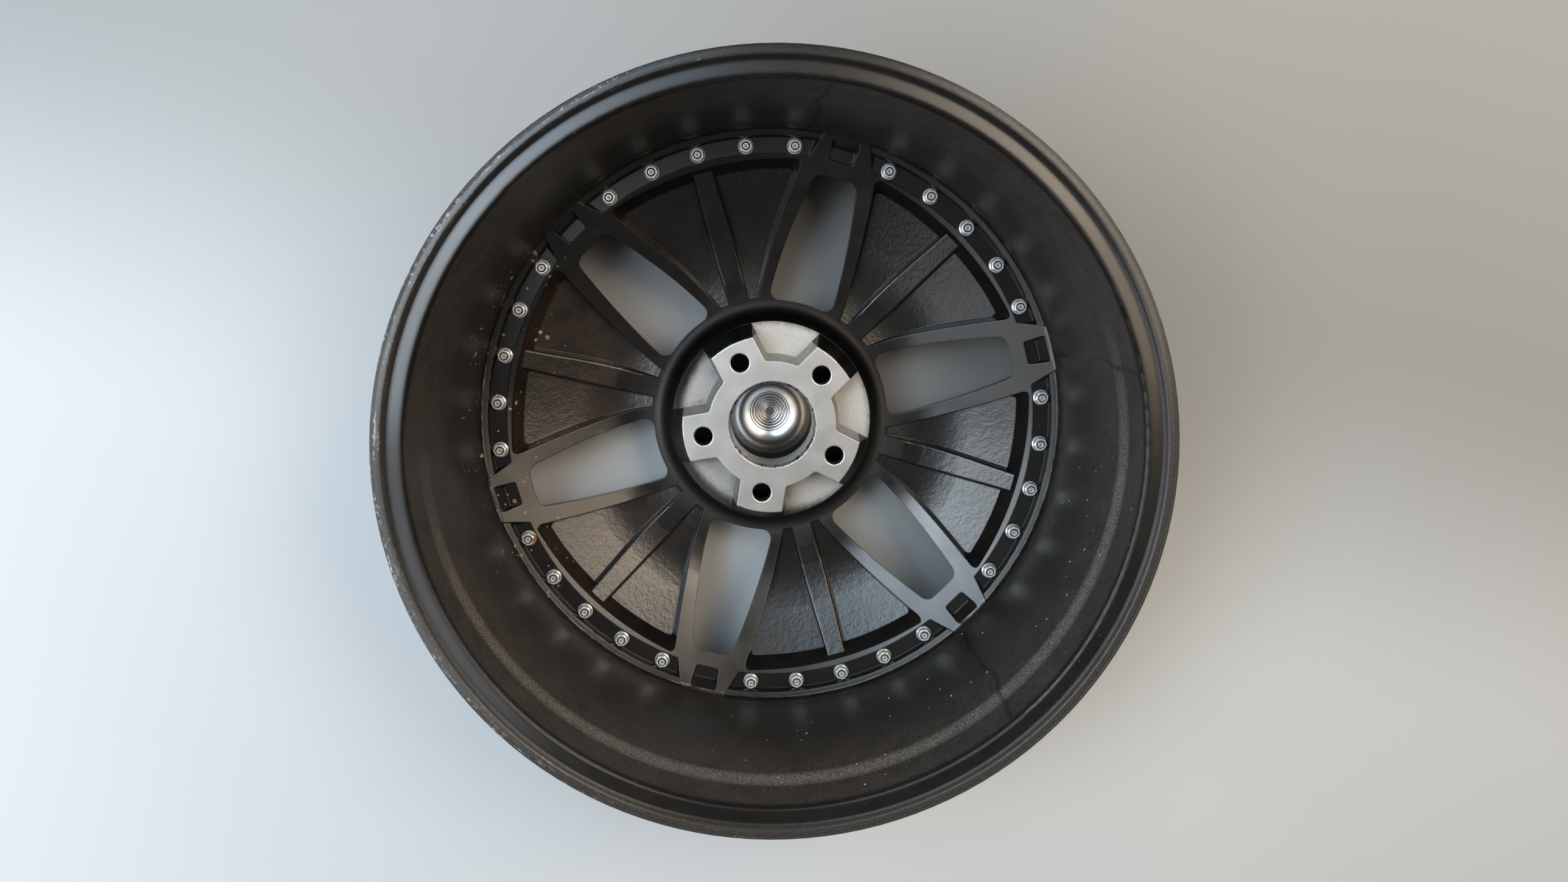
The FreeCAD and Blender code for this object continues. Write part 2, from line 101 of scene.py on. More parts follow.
def new_group(name, inputs, outputs):
    """Empty shader node group with float or vector sockets, its in and out nodes returned."""
    tree = bpy.data.node_groups.new(name, "ShaderNodeTree")
    for label, kind, value in inputs:
        socket = tree.interface.new_socket(label, in_out="INPUT", socket_type="NodeSocket" + kind)
        if value is not None:
            socket.default_value = value
    for label in outputs:
        tree.interface.new_socket(label, in_out="OUTPUT", socket_type="NodeSocketFloat")
    start = tree.nodes.new("NodeGroupInput")
    end = tree.nodes.new("NodeGroupOutput")
    return tree, start.outputs, end.inputs


def new_material(name):
    """Empty material and its node tree."""
    material = bpy.data.materials.new(name)
    material.use_nodes = True
    material.node_tree.nodes.clear()
    return material, material.node_tree


def bump(tree, height, normal=None):
    """Normal that follows a height in metres."""
    values = {"Strength": 1.0, "Distance": 1.0, "Height": height}
    if normal is not None:
        values["Normal"] = normal
    return put(tree, "Bump", values).outputs[0]


def dress(node, material):
    node.data.materials.clear()
    node.data.materials.append(material)


def use(tree, group, values):
    made = put(tree, "Group", node_tree=group)
    for key, value in values.items():
        if isinstance(value, bpy.types.NodeSocket):
            tree.links.new(value, made.inputs[key])
        else:
            made.inputs[key].default_value = value
    return made.outputs


# Place on the wheel: distance from the axis, height, and turn about the axis
place_group, given, result = new_group(
    "place_on_wheel", [], ["Radius", "Height", "Turn", "Left", "Down"])
where = put(place_group, "TexCoord").outputs["Object"]
axes = put(place_group, "SeparateXYZ", {0: where}).outputs
flat = put(place_group, "CombineXYZ", {0: axes[0], 1: axes[1]}).outputs[0]
radius = put(place_group, "VectorMath", {0: flat}, operation="LENGTH").outputs["Value"]
outward = put(place_group, "VectorMath", {0: flat}, operation="NORMALIZE").outputs[0]
place_group.links.new(radius, result["Radius"])
place_group.links.new(axes[2], result["Height"])
place_group.links.new(calc(place_group, "ARCTAN2", axes[1], axes[0]), result["Turn"])
for label, angle in (("Left", 134.5), ("Down", 224.5)):
    side = (math.cos(math.radians(angle)), math.sin(math.radians(angle)), 0.0)
    place_group.links.new(measure(place_group, "DOT_PRODUCT", outward, side), result[label])

# Stray specks: small round marks scattered at random, a share of the cells having one
specks_group, given, result = new_group(
    "stray_specks",
    [("Vector", "Vector", None), ("Cells", "Float", 100.0), ("Size", "Float", 0.1), ("Share", "Float", 0.2)],
    ["Mask"])
cells = put(specks_group, "TexVoronoi", {"Vector": given["Vector"], "Scale": given["Cells"]})
wobble = noise(specks_group, given["Vector"], 900.0, 1.0)
size = times(specks_group, given["Size"], calc(specks_group, "ADD", wobble, 0.5))
round_mark = calc(specks_group, "LESS_THAN", cells.outputs["Distance"], size)
lot = put(specks_group, "SeparateColor", {0: cells.outputs["Color"]}).outputs[0]
chosen = calc(specks_group, "LESS_THAN", lot, given["Share"])
specks_group.links.new(times(specks_group, round_mark, chosen), result["Mask"])

# Turned lines: fine rings left by a lathe tool
turned_group, given, result = new_group(
    "turned_lines", [("Radius", "Float", 0.0), ("Lines", "Float", 2000.0)], ["Height"])
along = put(turned_group, "CombineXYZ", {0: given["Radius"]}).outputs[0]
rings = put(turned_group, "TexNoise", {"Vector": along, "Scale": given["Lines"], "Detail": 3.0})
turned_group.links.new(rings.outputs[0], result["Height"])

# Cast grain: the pitted skin that a sand-blasted mould leaves
grain_group, given, result = new_group(
    "cast_grain", [("Vector", "Vector", None), ("Scale", "Float", 400.0)], ["Height"])
lumps = put(grain_group, "TexNoise", {"Vector": given["Vector"], "Scale": given["Scale"], "Detail": 3.0})
finer = times(grain_group, given["Scale"], 1.7)
pits = put(grain_group, "TexVoronoi", {"Vector": given["Vector"], "Scale": finer}, feature="F1")
pit_depth = times(grain_group, pits.outputs["Distance"], 0.225)
grain_group.links.new(calc(grain_group, "ADD", lumps.outputs[0], pit_depth), result["Height"])

back_radius, back_level, back_slope = 0.2124, -0.0080, math.tan(math.radians(20.8))
back_lowest, wall_start, wall_full = -0.0438, 0.2320, 0.2345
pad_radius, bore_edge, relief_level = 0.0722, 0.0354, -0.0250
lug_circle, lug_radius = 0.0560, 0.0075
shoulder_low, shoulder_high, shoulder_rise = 0.1100, 0.1220, 0.0022
run_turns = (37.0, -31.6, -93.5)
grain_scale, mould_scale, lathe_lines = 520.0, 210.0, 2600.0
pocket_grain, channel_grain, hub_grain = 0.000075, 0.000010, 0.000030
wall_grain, low_wall_grain, peel_grain = 0.000055, 0.000026, 0.000008
mould_height, sand_height, lathe_height = 0.00018, 0.000060, 0.0000020
nick_height, lug_rim_depth = 0.00012, 0.00030
band_lean, lip_lean = 0.30, 0.55
sharp_edge, lip_edge = 0.0012, 0.0040
paint_black = (0.0062, 0.0056, 0.0052, 1.0)
paint_rubbed = (0.0150, 0.0130, 0.0110, 1.0)
barrel_paint = (0.0540, 0.0450, 0.0380, 1.0)
barrel_dark = (0.0310, 0.0260, 0.0225, 1.0)
barrel_low = (0.0205, 0.0198, 0.0180, 1.0)
shoulder_grit_and_highlight = (0.2300, 0.2100, 0.1900, 1.0)
bare_metal = (0.68, 0.67, 0.655, 1.0)
cast_metal = (0.515, 0.488, 0.450, 1.0)
lug_bronze = (0.34, 0.28, 0.235, 1.0)
hub_brown = (0.0085, 0.0070, 0.0060, 1.0)
speck_white = (0.72, 0.70, 0.64, 1.0)
chip_beige = (0.46, 0.36, 0.25, 1.0)
rust_brown = (0.22, 0.085, 0.030, 1.0)
dust_pale = (0.30, 0.28, 0.25, 1.0)
brake_brown_and_sheen = (0.0300, 0.0195, 0.0135, 1.0)
worn_edge_and_highlight = (0.10, 0.085, 0.070, 1.0)
lip_dust_and_sheen = (0.058, 0.053, 0.048, 1.0)
lip_metal = (0.50, 0.49, 0.48, 1.0)
cast_pale = (0.635, 0.610, 0.575, 1.0)
relief_painted_shade = (0.16, 0.16, 0.165, 1.0)
bore_stain = (0.20, 0.13, 0.085, 1.0)

skin, tree = new_material("satin_black_casting")
where = put(tree, "TexCoord").outputs["Object"]
spot = use(tree, place_group, {})
r, z, turn, left, down = (spot[k] for k in ("Radius", "Height", "Turn", "Left", "Down"))
geometry = put(tree, "NewGeometry").outputs
facing = put(tree, "SeparateXYZ", {0: geometry["True Normal"]}).outputs[2]
broad = noise(tree, where, 45.0, 3.0)
fine = noise(tree, where, 420.0, 3.0, 0.6)
powder = noise(tree, where, 1500.0, 2.0)

# zones, by radius and height
cone = calc(tree, "MULTIPLY_ADD", calc(tree, "SUBTRACT", r, back_radius), back_slope, back_level)
depth = calc(tree, "SUBTRACT", most(tree, cone, back_lowest), z)
in_disc = between(tree, r, 0.0880, 0.2080, 0.001)
pocket = times(tree, in_disc, between(tree, depth, 0.0016, 0.0170, 0.0010))
channel = times(tree, between(tree, r, 0.2126, 0.2290, 0.0004),
                between(tree, depth, 0.0009, 0.0150, 0.0004))
barrel = times(tree, fade(tree, r, wall_start, wall_full), between(tree, z, 0.002, 0.1450, 0.006))
low_wall = fade(tree, z, 0.1050, 0.0450)
lower_side = fade(tree, calc(tree, "MULTIPLY_ADD", left, -0.2, down), -0.35, 0.35)
shoulder = times(tree, between(tree, z, shoulder_low, shoulder_high, 0.0040), lower_side)
hub_flank = times(tree, fade(tree, r, 0.1180, 0.0880), fade(tree, z, -0.0010, -0.0040))
hub_flank = times(tree, hub_flank, fade(tree, r, 0.0680, 0.0740))
front = fade(tree, facing, -0.05, -0.25)
pad = times(tree, calc(tree, "GREATER_THAN", z, -0.0004), calc(tree, "LESS_THAN", r, pad_radius))
bore = calc(tree, "LESS_THAN", r, bore_edge)
machined = most(tree, pad, bore)
ear_turn = calc(tree, "WRAP", turn, math.pi / 5, -math.pi / 5)
ear_along = times(tree, r, calc(tree, "COSINE", ear_turn))
ear_across = calc(tree, "ABSOLUTE", times(tree, r, calc(tree, "SINE", ear_turn)))
from_lug_x = calc(tree, "SUBTRACT", ear_along, lug_circle)
from_lug = calc(tree, "SQRT", calc(tree, "ADD", times(tree, from_lug_x, from_lug_x),
                                   times(tree, ear_across, ear_across)))
relief_floor = times(tree, between(tree, z, relief_level, relief_level, 0.0007),
                    between(tree, r, 0.0500, 0.0830, 0.0005))
lug_wall = times(tree, calc(tree, "LESS_THAN", from_lug, lug_radius + 0.0003),
                calc(tree, "LESS_THAN", z, -0.0002))
relief_wall = times(tree, between(tree, z, relief_level, -0.0008, 0.0004),
                   times(tree, between(tree, r, 0.0495, 0.0719, 0.0003),
                        calc(tree, "GREATER_THAN", from_lug, 0.0090)))
edge_noise = calc(tree, "SUBTRACT", noise(tree, where, 190.0, 3.0, 0.65), 0.5)
spray_from = fade(tree, calc(tree, "MULTIPLY_ADD", down, 0.5, left), -0.45, 0.70)
spray_edge = calc(tree, "MULTIPLY_ADD", edge_noise, 0.0045, r)
spray_radius = calc(tree, "MULTIPLY_ADD", spray_from, 0.0075, spray_edge)
spray_rim = fade(tree, spray_radius, 0.0752, 0.0850)
spray_side = fade(tree, calc(tree, "MULTIPLY_ADD", edge_noise, 0.0050, ear_across), 0.0275, 0.0215)
spray_side = times(tree, spray_side, fade(tree, spray_from, 0.1, 1.0, 0.10, 0.75))
overspray = most(tree, spray_rim, spray_side)
bare_floor = times(tree, relief_floor, rest_of(tree, overspray))
bare_wall = times(tree, relief_wall, fade(tree, edge_noise, -0.35, 0.15, 0.35, 0.85))
bare_cast = most(tree, bare_floor, bare_wall)

# the inboard lip: nicked all round and scuffed bare in places
lip_top = times(tree, fade(tree, r, 0.2685, 0.2720, 0.25, 1.0), fade(tree, z, 0.1570, 0.1600))
scuff_x = times(tree, turn, 9.0)
scuff_place = put(tree, "CombineXYZ", {0: scuff_x, 1: times(tree, r, 620.0),
                                       2: times(tree, z, 620.0)}).outputs[0]
scuffs = noise(tree, scuff_place, 1.0, 4.0, 0.65)
nicks = noise(tree, where, 260.0, 4.0, 0.7)
scuff_level = fade(tree, left, -0.55, 0.85, 0.65, 0.52)
lip_bare = times(tree, lip_top, fade(tree, slide(tree, 0.45, scuffs, nicks), scuff_level,
                                               calc(tree, "ADD", scuff_level, 0.12)))

# chips and dirt: pale chips by the left windows, grit low on the barrel, run lines in its paint
chip_zone = times(tree, fade(tree, left, 0.70, 0.95), fade(tree, r, 0.165, 0.205))
chip_low = times(tree, fade(tree, z, 0.060, 0.020), fade(tree, r, 0.2410, 0.2385))
chip_zone = times(tree, chip_zone, chip_low)
many_chips = use(tree, specks_group, {"Vector": where, "Cells": 150.0, "Size": 0.26, "Share": 0.22})["Mask"]
few_chips = use(tree, specks_group, {"Vector": where, "Cells": 240.0, "Size": 0.22, "Share": 0.10})["Mask"]
chips = times(tree, many_chips, times(tree, chip_zone, fade(tree, broad, 0.50, 0.56)))
chips = most(tree, chips, times(tree, few_chips, chip_zone))
dust = use(tree, specks_group, {"Vector": where, "Cells": 260.0, "Size": 0.085, "Share": 0.07})["Mask"]
dust = times(tree, dust, rest_of(tree, machined))
grit_side = fade(tree, calc(tree, "MULTIPLY_ADD", left, -0.62, times(tree, down, 0.78)), 0.55, 0.95)
grit = use(tree, specks_group, {"Vector": where, "Cells": 210.0, "Size": 0.15, "Share": 0.085})["Mask"]
grit_side = times(tree, grit_side, fade(tree, broad, 0.44, 0.50))
grit = times(tree, times(tree, grit, barrel), grit_side)
sway_place = put(tree, "CombineXYZ", {2: z}).outputs[0]
sway = times(tree, calc(tree, "SUBTRACT", noise(tree, sway_place, 16.0, 1.0), 0.5), 0.12)
runs = None
for run_turn in run_turns:
    gap = calc(tree, "SUBTRACT", turn, math.radians(run_turn))
    gap = calc(tree, "ABSOLUTE", calc(tree, "ADD", gap, sway))
    line = fade(tree, gap, 0.0120, 0.0030)
    runs = line if runs is None else most(tree, runs, line)
runs = times(tree, runs, barrel)

# rounded edges catch light and let a little metal through; their paint is lightened, partly as wear and
# partly as a painted highlight
edge_radius = slide(tree, fade(tree, z, 0.1440, 0.1480), sharp_edge, lip_edge)
soft_edge = put(tree, "Bevel", {"Radius": edge_radius}, samples=4).outputs[0]
edge_turn = measure(tree, "DOT_PRODUCT", soft_edge, geometry["Normal"])
edge = fade(tree, edge_turn, 0.985, 0.80)

colour = dye(tree, fade(tree, broad, 0.30, 0.75, 0.0, 0.55), paint_black, paint_rubbed)
barrel_colour = dye(tree, fade(tree, slide(tree, 0.6, broad, fine), 0.35, 0.65), barrel_dark, barrel_paint)
barrel_colour = dye(tree, times(tree, low_wall, 0.75), barrel_colour, barrel_low)
# grit and painted highlight: the barrel's shoulder ring is lightened with pale grit on the lower side of the
# picture only
gritty_highlight = times(tree, shoulder, fade(tree, powder, 0.42, 0.66))
barrel_colour = dye(tree, gritty_highlight, barrel_colour, shoulder_grit_and_highlight)
barrel_colour = dye(tree, times(tree, runs, 0.45), barrel_colour, paint_black)
colour = dye(tree, barrel, colour, barrel_colour)
# brake dust and painted warm sheen: pockets on the left side of the picture are tinted brown
brake_dust_and_sheen = times(tree, fade(tree, left, 0.45, 0.95), fade(tree, broad, 0.35, 0.60, 0.4, 1.0))
brake_dust_and_sheen = times(tree, pocket, brake_dust_and_sheen)
colour = dye(tree, brake_dust_and_sheen, colour, brake_brown_and_sheen)
colour = dye(tree, hub_flank, colour, dye(tree, broad, paint_black, hub_brown))
# worn paint and painted highlight: bevelled edges are lightened towards a pale brown
edge_wear_and_highlight = times(tree, edge, fade(tree, fine, 0.50, 0.75, 0.03, 0.35))
colour = dye(tree, edge_wear_and_highlight, colour, worn_edge_and_highlight)
# dust and painted reflection: the top of the lip is lightened to a dusty grey, least on the upper side of
# the picture
lip_zone = times(tree, fade(tree, r, 0.2630, 0.2670), fade(tree, z, 0.1520, 0.1550))
lip_dust_and_sheen_mask = times(tree, lip_zone, fade(tree, down, -0.9, -0.2, 0.25, 1.0))
lip_dust_and_sheen_mask = times(tree, lip_dust_and_sheen_mask, fade(tree, powder, 0.35, 0.65, 0.35, 1.0))
colour = dye(tree, lip_dust_and_sheen_mask, colour, lip_dust_and_sheen)
colour = dye(tree, times(tree, dust, 0.35), colour, dust_pale)
colour = dye(tree, grit, colour, speck_white)
colour = dye(tree, chips, colour, dye(tree, fade(tree, fine, 0.45, 0.65), chip_beige, rust_brown))
sandy = dye(tree, fade(tree, powder, 0.35, 0.65), cast_metal, cast_pale)
# painted shade: the bare cast reliefs on the left and lower sides of the picture are darkened
shaded = most(tree, fade(tree, left, 0.1, 0.9), fade(tree, down, 0.0, 0.8))
sandy = dye(tree, times(tree, shaded, 0.34), sandy, relief_painted_shade)
colour = dye(tree, bare_cast, colour, sandy)
colour = dye(tree, lip_bare, colour, lip_metal)
colour = dye(tree, lug_wall, colour, lug_bronze)
rubbed = times(tree, bore, between(tree, z, -0.0035, -0.0002, 0.0008))
stained = times(tree, rubbed, fade(tree, nicks, 0.50, 0.58))
bright = dye(tree, stained, bare_metal, bore_stain)
colour = dye(tree, machined, colour, bright)

metal = most(tree, times(tree, bare_cast, 0.45), lip_bare)
metal = most(tree, most(tree, machined, metal), lug_wall)
# painted shade: on the upper side of the picture the hub flank turns metallic with its near-black colour,
# which dims its reflection
flank_shade_side = times(tree, hub_flank, fade(tree, down, 0.20, -0.55, 0.0, 0.75))
metal = most(tree, metal, times(tree, flank_shade_side, rest_of(tree, bare_cast)))
rough = fade(tree, broad, 0.3, 0.7, 0.20, 0.25)
rough = slide(tree, hub_flank, rough, 0.46)
rough = slide(tree, fade(tree, z, 0.1400, 0.1500), rough, 0.23)
rough = slide(tree, pocket, rough, 0.25)
rough = slide(tree, channel, rough, 0.24)
wall_rough = slide(tree, low_wall, fade(tree, fine, 0.3, 0.7, 0.40, 0.50), 0.36)
rough = slide(tree, barrel, rough, slide(tree, runs, wall_rough, 0.30))
rough = slide(tree, front, rough, 0.24)
rough = slide(tree, bare_cast, rough, 0.62)
rough = slide(tree, lip_bare, rough, 0.50)
rough = slide(tree, lug_wall, rough, 0.42)
rough = slide(tree, machined, rough, fade(tree, broad, 0.3, 0.7, 0.36, 0.40))
rough = slide(tree, most(tree, most(tree, chips, grit), dust), rough, 0.8)

painted = rest_of(tree, machined)
peel = times(tree, powder, times(tree, painted, peel_grain))
cast_height = use(tree, grain_group, {"Vector": where, "Scale": grain_scale})["Height"]
cast_amount = most(tree, times(tree, pocket, pocket_grain), times(tree, channel, channel_grain))
cast_amount = most(tree, cast_amount, times(tree, hub_flank, hub_grain))
barrel_grain = times(tree, barrel, slide(tree, low_wall, wall_grain, low_wall_grain))
cast_amount = most(tree, cast_amount, barrel_grain)
height = calc(tree, "MULTIPLY_ADD", cast_height, cast_amount, peel)
mould_skin = noise(tree, where, mould_scale, 2.0, 0.6)
height = calc(tree, "MULTIPLY_ADD", mould_skin, times(tree, pocket, mould_height), height)
sand = noise(tree, where, 1300.0, 3.0, 0.6)
height = calc(tree, "MULTIPLY_ADD", sand, times(tree, bare_cast, sand_height), height)
ledge = fade(tree, z, shoulder_low, shoulder_high, 0.0, -shoulder_rise)
ledge_side = times(tree, lower_side, fade(tree, r, wall_start, wall_full))
height = calc(tree, "MULTIPLY_ADD", ledge, ledge_side, height)
lathe = use(tree, turned_group, {"Radius": r, "Lines": lathe_lines})["Height"]
height = calc(tree, "MULTIPLY_ADD", lathe, times(tree, machined, lathe_height), height)
height = calc(tree, "MULTIPLY_ADD", nicks, times(tree, lip_top, nick_height), height)
lug_rim = fade(tree, from_lug, lug_radius - 0.0002, lug_radius + 0.0009, -lug_rim_depth, 0.0)
height = calc(tree, "MULTIPLY_ADD", lug_rim, pad, height)
surface = bump(tree, height, soft_edge)
ledge_lean = times(tree, between(tree, r, 0.2548, 0.2638, 0.0008), band_lean)
lip_band = between(tree, r, 0.2674, 0.2706, 0.0006)
ledge_lean = calc(tree, "MULTIPLY_ADD", lip_band, lip_lean, ledge_lean)
ledge_tops = times(tree, fade(tree, z, 0.1500, 0.1530), fade(tree, facing, 0.4, 0.7))
ledge_lean = times(tree, ledge_lean, ledge_tops)
outward = put(tree, "VectorMath", {0: where, 1: (1.0, 1.0, 0.0)}, operation="MULTIPLY").outputs[0]
outward = put(tree, "VectorMath", {0: outward}, operation="NORMALIZE").outputs[0]
lean = put(tree, "VectorMath", {0: outward, "Scale": ledge_lean}, operation="SCALE").outputs[0]
leaning = put(tree, "VectorMath", {0: surface, 1: lean}, operation="ADD").outputs[0]
leaning = put(tree, "VectorMath", {0: leaning}, operation="NORMALIZE").outputs[0]
shader = put(tree, "BsdfPrincipled", {"Base Color": colour, "Metallic": metal, "Roughness": rough,
                                      "IOR": 1.60, "Normal": leaning})
put(tree, "OutputMaterial", {"Surface": shader.outputs[0]})
dress(casting, skin)

# Accent bolts.  Socket-headed steel bolts through the outer ring, zinc plated,
# turned and rolled, their ends showing just above the nuts.
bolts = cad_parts["accent_bolts"]
nut_circle, nut_step, nut_top = 0.2190, math.radians(10.0), -0.0026
thread_pitch, thread_depth, punch_depth = 0.0010, 0.00008, 0.00040
steel_bright, steel_dull = (0.86, 0.86, 0.85, 1.0), (0.70, 0.69, 0.67, 1.0)
thread_painted_shade, punch_painted_shade = (0.13, 0.125, 0.115, 1.0), (0.16, 0.155, 0.145, 1.0)

# Distance from the axis of the nearest bolt on the ring
axis_group, given, result = new_group("nearest_bolt", [], ["Distance", "Height"])
spot = use(axis_group, place_group, {})
step = calc(axis_group, "WRAP", spot["Turn"], nut_step / 2, -nut_step / 2)
along = times(axis_group, spot["Radius"], calc(axis_group, "COSINE", step))
along = calc(axis_group, "SUBTRACT", along, nut_circle)
across = times(axis_group, spot["Radius"], calc(axis_group, "SINE", step))
apart = calc(axis_group, "SQRT", calc(axis_group, "ADD", times(axis_group, along, along),
                                      times(axis_group, across, across)))
axis_group.links.new(apart, result["Distance"])
axis_group.links.new(spot["Height"], result["Height"])

plated, tree = new_material("zinc_plated_bolt")
where = put(tree, "TexCoord").outputs["Object"]
bloom = noise(tree, where, 350.0, 3.0)
bolt = use(tree, axis_group, {})
inboard = fade(tree, bolt["Height"], nut_top - 0.0020, nut_top)
# painted shade: the threaded flank and the centre punch of each bolt end are darkened
flank = times(tree, fade(tree, bolt["Distance"], 0.00215, 0.00250), inboard)
colour = dye(tree, fade(tree, bloom, 0.35, 0.7), steel_bright, steel_dull)
colour = dye(tree, flank, colour, thread_painted_shade)
punch = times(tree, fade(tree, bolt["Distance"], 0.00120, 0.00060), inboard)
colour = dye(tree, times(tree, punch, 0.6), colour, punch_painted_shade)
rough = fade(tree, bloom, 0.3, 0.7, 0.20, 0.32)
thread = calc(tree, "SINE", times(tree, bolt["Height"], 2 * math.pi / thread_pitch))
height = times(tree, noise(tree, where, 1800.0, 2.0), 0.000004)
height = calc(tree, "MULTIPLY_ADD", thread, times(tree, flank, thread_depth), height)
height = calc(tree, "MULTIPLY_ADD", punch, -punch_depth, height)
soft = put(tree, "Bevel", {"Radius": 0.0002}, samples=3).outputs[0]
surface = bump(tree, height, soft)
shader = put(tree, "BsdfPrincipled", {"Base Color": colour, "Metallic": 0.60, "Roughness": rough,
                                      "Normal": surface})
put(tree, "OutputMaterial", {"Surface": shader.outputs[0]})
dress(bolts, plated)

# Flange nuts.  Bright zinc hexagon nuts with a washer flange, cold formed,
# one of them starting to rust.
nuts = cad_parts["flange_nuts"]
rusty_nut = (-0.2018, 0.0709, -0.0060)
zinc_bright, zinc_dull = (0.97, 0.975, 0.975, 1.0), (0.86, 0.86, 0.85, 1.0)
nut_painted_shade, nut_rust = (0.16, 0.155, 0.145, 1.0), (0.36, 0.13, 0.045, 1.0)
zinc, tree = new_material("bright_zinc_nut")
where = put(tree, "TexCoord").outputs["Object"]
bloom = noise(tree, where, 420.0, 3.0)
clean = dye(tree, fade(tree, bloom, 0.35, 0.7), zinc_bright, zinc_dull)
rust_spot = measure(tree, "DISTANCE", where, rusty_nut)
rusty = times(tree, fade(tree, rust_spot, 0.0062, 0.0035), fade(tree, bloom, 0.36, 0.46))
bolt = use(tree, axis_group, {})
# painted shade: the countersink round the bolt and the groove at the root of the hexagon are darkened
sunk = fade(tree, bolt["Distance"], 0.00360, 0.00335)
root = times(tree, between(tree, bolt["Distance"], 0.0046, 0.0054, 0.0003),
            fade(tree, bolt["Height"], nut_top - 0.0028, nut_top - 0.0038))
clean = dye(tree, most(tree, sunk, times(tree, root, 0.7)), clean, nut_painted_shade)
colour = dye(tree, rusty, clean, nut_rust)
metal = times(tree, rest_of(tree, rusty), 0.60)
rough = calc(tree, "MULTIPLY_ADD", rusty, 0.4, fade(tree, bloom, 0.3, 0.7, 0.22, 0.34))
height = times(tree, noise(tree, where, 1500.0, 2.0), 0.000004)
soft = put(tree, "Bevel", {"Radius": 0.0002}, samples=3).outputs[0]
surface = bump(tree, height, soft)
shader = put(tree, "BsdfPrincipled", {"Base Color": colour, "Metallic": metal, "Roughness": rough,
                                      "Normal": surface})
put(tree, "OutputMaterial", {"Surface": shader.outputs[0]})
dress(nuts, zinc)

# Centre cap.  A deep aluminium cup pressed in from the front: turned bare inside,
# with tool rings on its floor, and black on the face that shows outside.
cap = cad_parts["centre_cap"]
ring_pitch, ring_height, cap_lines, cap_line_height = 0.0024, 0.00009, 1700.0, 0.000010
cap_bright, cap_smeared = (0.62, 0.61, 0.60, 1.0), (0.57, 0.555, 0.54, 1.0)
cap_wall_shade, cap_floor = (0.055, 0.052, 0.050, 1.0), (0.30, 0.29, 0.28, 1.0)
ring_dark, cap_black = (0.10, 0.095, 0.09, 1.0), (0.012, 0.012, 0.012, 1.0)
cup, tree = new_material("turned_aluminium_cap")
where = put(tree, "TexCoord").outputs["Object"]
spot = use(tree, place_group, {})
r, z = spot["Radius"], spot["Height"]
facing = put(tree, "SeparateXYZ", {0: put(tree, "NewGeometry").outputs["True Normal"]}).outputs[2]
outside = times(tree, fade(tree, facing, 0.05, -0.05), fade(tree, z, -0.0720, -0.0732))
smear = noise(tree, where, 120.0, 3.0)
# painted shade: the steep inner walls of the cup are darkened almost to black
steep = fade(tree, facing, 0.62, 0.22)
inside_colour = dye(tree, fade(tree, smear, 0.3, 0.75), cap_bright, cap_smeared)
inside_colour = dye(tree, times(tree, steep, 0.90), inside_colour, cap_wall_shade)
ring_wave = calc(tree, "SINE", times(tree, r, 2 * math.pi / ring_pitch))
ring_zone = times(tree, between(tree, r, 0.0045, 0.0165, 0.0012), fade(tree, facing, 0.3, 0.6))
inside_colour = dye(tree, fade(tree, r, 0.0190, 0.0120, 0.0, 0.40), inside_colour, cap_floor)
ring_lines = times(tree, ring_zone, fade(tree, ring_wave, -0.2, 0.9, 0.0, 0.6))
inside_colour = dye(tree, ring_lines, inside_colour, ring_dark)
colour = dye(tree, outside, inside_colour, cap_black)
rough = slide(tree, outside, 0.24, 0.22)
lathe = use(tree, turned_group, {"Radius": r, "Lines": cap_lines})["Height"]
height = times(tree, lathe, cap_line_height)
height = calc(tree, "MULTIPLY_ADD", ring_wave, times(tree, ring_zone, -ring_height), height)
surface = bump(tree, height)
shader = put(tree, "BsdfPrincipled", {"Base Color": colour, "Metallic": rest_of(tree, outside),
                                      "Roughness": rough, "Normal": surface})
put(tree, "OutputMaterial", {"Surface": shader.outputs[0]})
dress(cap, cup)

# Cap seal.  A black rubber ring in the cap's groove, moulded, with a slight bloom.
# It is out of sight once the cap is in.
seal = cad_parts["cap_seal"]
rubber, tree = new_material("black_rubber_seal")
where = put(tree, "TexCoord").outputs["Object"]
bloom = noise(tree, where, 300.0, 3.0)
colour = dye(tree, fade(tree, bloom, 0.4, 0.75), (0.018, 0.018, 0.018, 1.0), (0.055, 0.053, 0.050, 1.0))
height = times(tree, noise(tree, where, 2500.0, 2.0), 0.00001)
surface = bump(tree, height)
rough = fade(tree, bloom, 0.3, 0.7, 0.5, 0.7)
shader = put(tree, "BsdfPrincipled", {"Base Color": colour, "Roughness": rough, "Normal": surface})
put(tree, "OutputMaterial", {"Surface": shader.outputs[0]})
dress(seal, rubber)

# Floor.  A pale grey sheet of smooth board under the wheel, faintly mottled, with painted light: lighter and
# cooler towards the lower left, painted shade towards the top of the picture and a painted shadow under the
# right half of the wheel.
floor_level = cad_box[0][2]
floor_mesh = bpy.data.meshes.new("pale_floor")
half = 4.0
sheet_lit_cool, sheet_dim_warm = (0.600, 0.618, 0.635, 1.0), (0.545, 0.545, 0.532, 1.0)
sheet_far_shade, sheet_shadow = (0.0, 0.0, 0.0, 1.0), (0.08, 0.075, 0.065, 1.0)
picture_right = Vector((0.7016, -0.7126, 0.0))
picture_up = Vector((0.7126, 0.7016, 0.0))
floor_mesh.from_pydata(
    [(-half, -half, floor_level), (half, -half, floor_level),
     (half, half, floor_level), (-half, half, floor_level)],
    [], [(0, 1, 2, 3)])
floor = bpy.data.objects.new("pale_floor", floor_mesh)
bpy.context.scene.collection.objects.link(floor)
sheet, tree = new_material("pale_grey_sheet")
